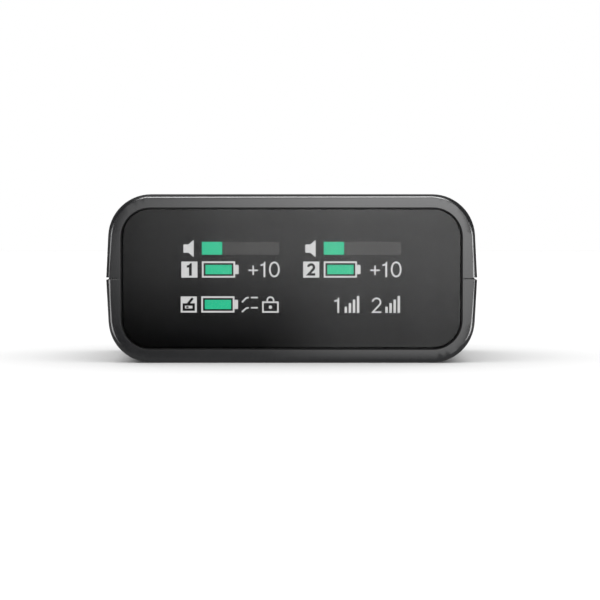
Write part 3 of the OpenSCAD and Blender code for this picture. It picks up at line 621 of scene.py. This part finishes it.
jack_black = finish("jack_black", ((0.01, 0.01, 0.011), (0.018, 0.018, 0.019)), 0.12 * MM,
                    (0.4, 0.55), 0.002 * MM, 2 * MM)
for name in ("line_out_jack", "headphone_jack"):
    smooth_facets(dress(name, jack_black))
nickel = finish("collar_nickel", ((0.4, 0.39, 0.38), (0.52, 0.51, 0.49)), 0.1 * MM,
                (0.16, 0.3), 0.001 * MM, 1.5 * MM,
                wear=(0.1 * MM, (0.7, 0.68, 0.64), 0.15), Metallic=1.0)
smooth_facets(dress("jack_collars", nickel))
dress("jack_terminals", finish("feet_tin", ((0.6, 0.6, 0.58), (0.72, 0.72, 0.7)), 0.1 * MM,
                               (0.3, 0.45), 0.002 * MM, 1 * MM, Metallic=1.0))


# ---- USB-C socket ------------------------------------------------------------------
# A drawn stainless shell round a black tongue with gold contacts on both of its
# sides, soldered to the board behind an opening in the right flank.

smooth_facets(dress("usb_shell", finish(
    "usb_steel", ((0.5, 0.5, 0.5), (0.62, 0.62, 0.61)), 0.1 * MM, (0.2, 0.35), 0.001 * MM,
    1.5 * MM, wear=(0.06 * MM, (0.75, 0.74, 0.72), 0.18), Metallic=1.0)))
dress("usb_tongue", finish("tongue_black", ((0.01, 0.01, 0.011), (0.018, 0.018, 0.019)),
                           0.1 * MM, (0.35, 0.5), 0.001 * MM, 1 * MM))
dress("usb_contacts", gold)


# ---- Power button ------------------------------------------------------------------
# A moulded cap in a scoop of the right flank. A flange behind the wall keeps it in, and
# it presses the ivory plunger of a small switch on the board.

button_satin = finish("button_satin", ((0.026, 0.0265, 0.028), (0.036, 0.0365, 0.039)),
                      0.18 * MM, (0.26, 0.36), 0.0008 * MM, 2 * MM,
                      wear=(0.12 * MM, (0.07, 0.071, 0.074), 0.2), Specular_IOR_Level=0.8)
smooth_facets(dress("power_button", button_satin))
dress("switch_body", finish("switch_black", ((0.012, 0.012, 0.013), (0.02, 0.02, 0.021)),
                            0.1 * MM, (0.4, 0.55), 0.002 * MM, 1 * MM))
smooth_facets(dress("switch_plunger", finish(
    "plunger_ivory", ((0.6, 0.57, 0.5), (0.7, 0.68, 0.6)), 0.1 * MM, (0.35, 0.5), 0.001 * MM,
    1 * MM)))


# ---- Accessory slot ----------------------------------------------------------------
# A folded steel rail let into the bottom shell and held by four small screws. At its
# blind end a black block carries six gold pads, with sprung pins up to the board.

rail_steel = finish("rail_steel", ((0.16, 0.16, 0.165), (0.22, 0.22, 0.225)), 0.12 * MM,
                    (0.28, 0.42), 0.001 * MM, 3 * MM, stretch=(1, 0.08, 1),
                    wear=(0.1 * MM, (0.6, 0.6, 0.59), 0.2), Metallic=1.0)
smooth_facets(dress("accessory_rail", rail_steel))
smooth_facets(dress("rail_screws", screw_black))
smooth_facets(dress("contact_block", jack_black))
dress("contact_pads", gold)
smooth_facets(dress("contact_pins", gold))


# ---- Floor -------------------------------------------------------------------------
# A plain white table top that the unit stands on, with a lamp of its own. It is not
# part of the object, and only the camera sees it and the shadow on it.

FLOOR_HALF = 0.6
work = bmesh.new()
work.faces.new([work.verts.new((x, y, 0)) for x, y in
                ((-FLOOR_HALF, -FLOOR_HALF), (FLOOR_HALF, -FLOOR_HALF),
                 (FLOOR_HALF, FLOOR_HALF), (-FLOOR_HALF, FLOOR_HALF))])
mesh = bpy.data.meshes.new("floor")
work.to_mesh(mesh)
work.free()
floor = bpy.data.objects.new("floor", mesh)
bpy.context.collection.objects.link(floor)
paper = bpy.data.materials.new("white_table")
paper.use_nodes = True
tree = paper.node_tree
shader = tree.nodes["Principled BSDF"]
shader.inputs["Base Color"].default_value = (0.66, 0.66, 0.66, 1)
shader.inputs["Roughness"].default_value = 1.0
shader.inputs["Specular IOR Level"].default_value = 0.0
mesh.materials.append(paper)
floor.visible_glossy = False
floor.visible_transmission = False


# ---- Studio light ------------------------------------------------------------------
# The camera sees white surroundings, and reflections see a dim tent. Three soft boxes
# light the object alone, from the left, the right and above, and a large one lights
# the table alone.

world = bpy.data.worlds.new("surroundings")
bpy.context.scene.world = world
world.use_nodes = True
for unseen in ("diffuse", "transmission"):
    setattr(world.cycles_visibility, unseen, False)


def ranged(tree, value, start, end, low=0.0, high=1.0):
    """A number that goes smoothly from low to high as the value goes from start to end."""
    if start > end:
        start, end, low, high = end, start, high, low
    return node(tree, "MapRange", {"Value": value, "From Min": start, "From Max": end,
                                   "To Min": low, "To Max": high},
                interpolation_type="SMOOTHSTEP").outputs[0]


def times(tree, first, second):
    return node(tree, "Math", {0: first, 1: second}, operation="MULTIPLY").outputs[0]


# Brightness of the tent's panels beside white. The ranges below are parts of a unit
# way, so that 1 is straight along an axis.
SIDE_PANEL, BACK_PANEL, CLOTH, OVERHEAD = 0.7, 0.4, 0.2, 0.33
tree = world.node_tree
way = node(tree, "TexCoord").outputs["Generated"]
parts = node(tree, "SeparateXYZ", {"Vector": way}).outputs
aside = node(tree, "Math", {0: parts["X"]}, operation="ABSOLUTE").outputs[0]
level_with = times(tree, ranged(tree, parts["Z"], 0.5, 0.3), ranged(tree, parts["Z"], -0.04, 0.0))
behind = ranged(tree, parts["Y"], 0.3, 0.8, 1.0, 0.3)
beside = times(tree, ranged(tree, parts["Y"], -0.5, -0.1), behind)
tent = times(tree, ranged(tree, aside, 0.965, 0.992, 0.0, SIDE_PANEL), level_with)
for extra in (times(tree, ranged(tree, parts["Y"], 0.955, 0.985, 0.0, BACK_PANEL), level_with),
              times(tree, ranged(tree, parts["Z"], 0.12, 0.28, 0.0, CLOTH), beside),
              ranged(tree, parts["Z"], 0.82, 0.97, 0.0, OVERHEAD)):
    tent = node(tree, "Math", {0: tent, 1: extra}, operation="ADD").outputs[0]
direct = node(tree, "LightPath").outputs["Is Camera Ray"]
white = node(tree, "Math", {0: tent, 1: direct}, operation="MAXIMUM").outputs[0]
tree.links.new(white, tree.nodes["Background"].inputs["Strength"])
tree.nodes["Background"].inputs["Color"].default_value = (1, 1, 1, 1)

not_table = bpy.data.collections.new("all_but_the_table")
not_table.objects.link(floor)
table_only = bpy.data.collections.new("the_table")
table_only.objects.link(floor)


def soft_box(name, place, size, radiance, aim=(0, 0, PARTING_Z)):
    """An area light at a place in metres, turned to the object; radiance beside white."""
    lamp = bpy.data.lights.new(name, "AREA")
    lamp.shape = "RECTANGLE"
    lamp.size, lamp.size_y = size
    lamp.energy = radiance * math.pi * size[0] * size[1]
    made = bpy.data.objects.new(name, lamp)
    bpy.context.collection.objects.link(made)
    made.location = place
    away = made.location - type(made.location)(aim)
    made.rotation_mode = "QUATERNION"
    made.rotation_quaternion = away.to_track_quat("Z", "Y")
    made.light_linking.receiver_collection = not_table
    made.visible_transmission = False
    made.visible_camera = False
    return made


soft_box("box_left", (-0.25, -0.34, -0.03), (0.2, 0.16), 4.4)
soft_box("box_right", (0.25, -0.34, -0.03), (0.2, 0.16), 7.5)
soft_box("box_top", (0.01, -0.33, 0.28), (0.24, 0.16), 10.0)
for entry in not_table.collection_objects:
    entry.light_linking.link_state = "EXCLUDE"
over_table = soft_box("over_table", (0.0, 0.0, 0.9), (4.4, 4.4), 1.86, (0, 0, 0))
over_table.light_linking.receiver_collection = table_only


# ---- Shaded card -------------------------------------------------------------------
# A lit card in front of the object, brighter to the right and at the top, which only
# shows as a soft reflection on the glass and the bezel.

CAMERA_AWAY = 0.32
CAMERA_X, CAMERA_Z = 0.00099, 0.020
CARD_AWAY, CARD_SIDE = 0.07, 0.1
front_y = cad_box[0].y
spread = 1 + CARD_AWAY / CAMERA_AWAY
card_middle = (-CAMERA_X * (spread - 1), front_y - CARD_AWAY,
               PARTING_Z * spread - CAMERA_Z * (spread - 1))
card = soft_box("shaded_card", card_middle, (CARD_SIDE, CARD_SIDE), 1.0,
                (card_middle[0], 0, card_middle[2]))
card.visible_diffuse = False
card.visible_transmission = True
card.data.use_nodes = True
tree = card.data.node_tree
place = node(tree, "NewGeometry").outputs["Position"]
from_middle = node(tree, "VectorMath", {0: place, 1: card_middle}, operation="SUBTRACT").outputs[0]
seen = node(tree, "Mapping", {"Vector": from_middle, "Scale": (1 / spread / MM,) * 3}).outputs[0]
across = node(tree, "SeparateXYZ", {"Vector": seen}).outputs["X"]
upward = node(tree, "SeparateXYZ", {"Vector": seen}).outputs["Z"]


def graded(tree, value, steps, most=1.0):
    """A smooth run of levels over a distance on the card, in millimetres of the object's face."""
    first, last = steps[0][0], steps[-1][0]
    share = node(tree, "MapRange", {"Value": value, "From Min": first, "From Max": last}).outputs[0]
    ramp = node(tree, "ValToRGB", {0: share})
    ramp.color_ramp.interpolation = "EASE"
    while len(ramp.color_ramp.elements) < len(steps):
        ramp.color_ramp.elements.new(0.5)
    for stop, (at, level) in zip(ramp.color_ramp.elements, steps):
        stop.position = (at - first) / (last - first)
        stop.color = (level / most, level / most, level / most, 1)
    return ramp.outputs[0]


CARD_MOST, TOP_LIFT = 3.4, 1.35
level = graded(tree, across, ((-34, 0.0), (-24, 0.4), (-15, 1.0), (-4, 1.7), (8, 2.15), (26, 2.25),
                              (34, 0.0)), CARD_MOST)
fade = graded(tree, upward, ((-9, 1.0), (6, 0.0), (12, 0.0), (26, 1.0)))
hold = graded(tree, across, ((-6, 0.95), (8, 0.54), (26, 0.4)))
dimming = node(tree, "Math", {0: fade, 1: hold}, operation="MULTIPLY").outputs[0]
kept = node(tree, "Math", {0: 1.0, 1: dimming}, operation="SUBTRACT").outputs[0]
lift = graded(tree, upward, ((6, 1 / TOP_LIFT), (10, 1.0)))
level = node(tree, "Math", {0: level, 1: kept}, operation="MULTIPLY").outputs[0]
level = node(tree, "Math", {0: level, 1: lift}, operation="MULTIPLY").outputs[0]
tree.links.new(level, tree.nodes["Emission"].inputs["Color"])
tree.nodes["Emission"].inputs["Strength"].default_value = CARD_MOST * TOP_LIFT


# ---- Light from the table ----------------------------------------------------------
# A glowing sheet just under the object, which stands in for the white table in its
# reflections: dim close to the case and brighter away from it. Nothing else sees it.

BOUNCE_HALF, BOUNCE_FRONT, BOUNCE_Z = 0.15, 0.009, -0.0001
work = bmesh.new()
work.faces.new([work.verts.new((x, y, BOUNCE_Z)) for x, y in
                ((-BOUNCE_HALF, front_y - BOUNCE_FRONT), (BOUNCE_HALF, front_y - BOUNCE_FRONT),
                 (BOUNCE_HALF, BOUNCE_HALF), (-BOUNCE_HALF, BOUNCE_HALF))])
mesh = bpy.data.meshes.new("table_bounce")
work.to_mesh(mesh)
work.free()
bounce = bpy.data.objects.new("table_bounce", mesh)
bpy.context.collection.objects.link(bounce)
for unseen in ("camera", "diffuse", "transmission", "shadow", "volume_scatter"):
    setattr(bounce, "visible_" + unseen, False)
whiteness = bpy.data.materials.new("table_bounce")
whiteness.use_nodes = True
tree = whiteness.node_tree
tree.nodes.clear()
place = node(tree, "TexCoord").outputs["Object"]
folded = node(tree, "VectorMath", {0: place}, operation="ABSOLUTE").outputs[0]
past = node(tree, "VectorMath", {0: folded, 1: (cad_box[1].x, cad_box[1].y, 0)},
            operation="SUBTRACT").outputs[0]
past = node(tree, "VectorMath", {0: past, 1: (0, 0, 0)}, operation="MAXIMUM").outputs[0]
away = node(tree, "VectorMath", {0: past}, operation="LENGTH").outputs["Value"]
depth = node(tree, "SeparateXYZ", {"Vector": place}).outputs["Y"]
level = times(tree, ranged(tree, away, 0.0, 0.022, 0.22, 0.6), ranged(tree, away, 0.11, 0.06))
level = times(tree, level, ranged(tree, depth, front_y - BOUNCE_FRONT, front_y - 0.003))
lit = node(tree, "Emission", {"Strength": level})
output = tree.nodes.new("ShaderNodeOutputMaterial")
tree.links.new(lit.outputs[0], output.inputs["Surface"])
whiteness.cycles.emission_sampling = "NONE"
mesh.materials.append(whiteness)


# ---- Camera ------------------------------------------------------------------------
# A long lens straight in front of the display, a little above the middle of the case
# and turned slightly down. It takes in VIEW_W metres across at the case's front.

SENSOR = 36.0
VIEW_W = 0.07102
camera = bpy.data.cameras.new("camera")
camera.sensor_width = SENSOR
camera.lens = SENSOR * CAMERA_AWAY / VIEW_W
camera.clip_start, camera.clip_end = 0.01, 20
eye = bpy.data.objects.new("camera", camera)
bpy.context.collection.objects.link(eye)
eye.location = (CAMERA_X, front_y - CAMERA_AWAY, CAMERA_Z)
AIM_Z = 0.00748
eye.rotation_euler = (math.pi / 2 - math.atan((CAMERA_Z - AIM_Z) / CAMERA_AWAY), 0, 0)
bpy.context.scene.camera = eye
bpy.context.scene.view_settings.view_transform = "Standard"
